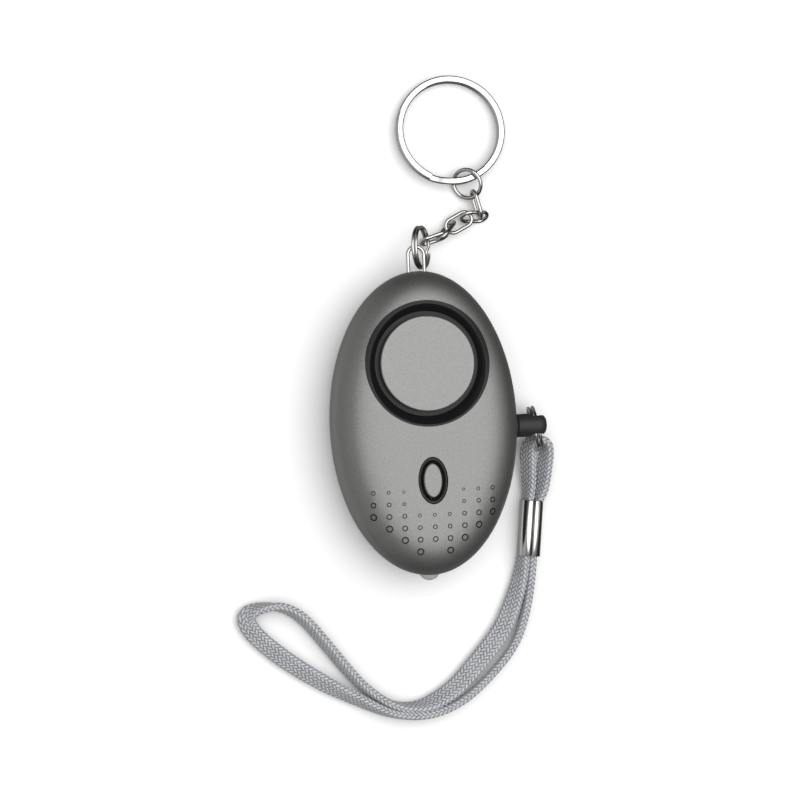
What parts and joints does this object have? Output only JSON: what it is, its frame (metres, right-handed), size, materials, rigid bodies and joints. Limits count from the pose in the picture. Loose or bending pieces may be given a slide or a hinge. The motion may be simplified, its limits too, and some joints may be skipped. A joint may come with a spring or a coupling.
{
  "type": "personal safety alarm",
  "caption": "Egg-shaped pocket siren with a torch, a push button, a pull pin on a braided wrist strap and a key ring on a short chain.",
  "frame": {"origin": "centre of the flat face of the back, on the surface it lies on", "axes": "+X to the pull pin, +Y along the casing to the key ring, +Z out of the front"},
  "size_m": [0.0697, 0.1394, 0.018],
  "materials": {
    "shell_grey": "satin metallic grey",
    "bezel_black": "gloss",
    "disc_grey": "satin",
    "button_grey": "satin",
    "pin_plastic": "matt",
    "steel_plated": "bright",
    "steel_plain": "satin",
    "strap_fabric": "braided",
    "led_clear": "clear",
    "brass_sheet": "satin",
    "ceramic_white": "matt",
    "seal_rubber": "matt",
    "board_green": "satin",
    "chip_black": "matt",
    "coil_wire": "satin"
  },
  "bodies": {
    "casing": {"front_shell": "shell_grey", "rear_shell": "shell_grey", "case_screws": "steel_plain", "speaker_bezel": "bezel_black", "sound_disc": "disc_grey", "diaphragm_seal": "seal_rubber", "diaphragm": "brass_sheet", "piezo_ceramic": "ceramic_white", "circuit_board": "board_green", "driver_chip": "chip_black", "boost_coil": "coil_wire", "board_components": "chip_black", "tact_switch": "chip_black", "button_surround": "bezel_black", "torch_led": "led_clear", "led_leads": "steel_plain", "battery_cells": "steel_plain", "battery_contacts": "steel_plain", "pin_socket": "pin_plastic", "pin_contacts": "brass_sheet", "bail": "steel_plated"},
    "torch_button": {"torch_button": "button_grey", "switch_plunger": "chip_black"},
    "pull_pin": {"pin_head": "pin_plastic", "pin_shaft": "steel_plain"},
    "pin_ring": {"pin_ring": "steel_plated"},
    "wrist_strap": {"strap_crimp": "steel_plated", "strap_neck": "strap_fabric", "strap_loop": "strap_fabric"},
    "body_ring": {"body_ring": "steel_plated"},
    "chain_link_1": {"chain_link_1": "steel_plated"},
    "chain_link_2": {"chain_link_2": "steel_plated"},
    "chain_link_3": {"chain_link_3": "steel_plated"},
    "chain_link_4": {"chain_link_4": "steel_plated"},
    "chain_link_5": {"chain_link_5": "steel_plated"},
    "jump_ring": {"jump_ring": "steel_plated"},
    "key_ring": {"key_ring": "steel_plated"}
  },
  "joints": [
    {"name": "button_press", "type": "slide", "parent": "casing", "child": "torch_button", "axis": [0, 0, -1], "range_m": [0, 0.00035], "stiffness_N_per_m": 4000, "springref_m": -0.0001},
    {"name": "pin_pull", "type": "slide", "parent": "casing", "child": "pull_pin", "axis": [1, 0, 0], "range_m": [0, 0.014]},
    {"name": "pin_ring_swing", "type": "hinge", "parent": "pull_pin", "child": "pin_ring", "pos_m": [0.0247, -0.0015, 0.009], "axis": [0, 1, 0], "range_deg": [0, 8]},
    {"name": "strap_swing", "type": "hinge", "parent": "pin_ring", "child": "wrist_strap", "pos_m": [0.0261, -0.00715, 0.005], "axis": [0, 0, 1], "range_deg": [-10, 12]},
    {"name": "body_ring_swing", "type": "hinge", "parent": "casing", "child": "body_ring", "pos_m": [0, 0.0378, 0.009], "axis": [1, 0, 0], "range_deg": [0, 20]},
    {"name": "link_1_swing", "type": "hinge", "parent": "body_ring", "child": "chain_link_1", "pos_m": [0.00404, 0.03944, 0.00249], "axis": [0.2307, -0.9081, 0.3494], "range_deg": [0, 25]},
    {"name": "link_2_swing", "type": "hinge", "parent": "chain_link_1", "child": "chain_link_2", "pos_m": [0.00718, 0.04059, 0.00354], "axis": [0.6386, -0.7562, -0.1425], "range_deg": [0, 30]},
    {"name": "link_3_swing", "type": "hinge", "parent": "chain_link_2", "child": "chain_link_3", "pos_m": [0.00989, 0.04259, 0.00197], "axis": [-0.2275, 0.0576, 0.9721], "range_deg": [-12, 0]},
    {"name": "link_4_swing", "type": "hinge", "parent": "chain_link_3", "child": "chain_link_4", "pos_m": [0.01324, 0.04434, 0.00253], "axis": [0.1382, -0.8387, 0.5268], "range_deg": [-6, 6]},
    {"name": "link_5_swing", "type": "hinge", "parent": "chain_link_4", "child": "chain_link_5", "pos_m": [0.01541, 0.04566, 0.00294], "axis": [-0.969, -0.2308, 0.0887], "range_deg": [-20, 0]},
    {"name": "jump_ring_turn", "type": "hinge", "parent": "chain_link_5", "child": "jump_ring", "pos_m": [0.01321, 0.05154, 0.0027], "axis": [-0.5364, -0.3022, 0.788], "range_deg": [-20, 0]},
    {"name": "key_ring_turn", "type": "hinge", "parent": "jump_ring", "child": "key_ring", "pos_m": [0.01014, 0.06333, 0.00204], "axis": [0, 0.0807, 0.9967], "continuous": true}
  ]
}
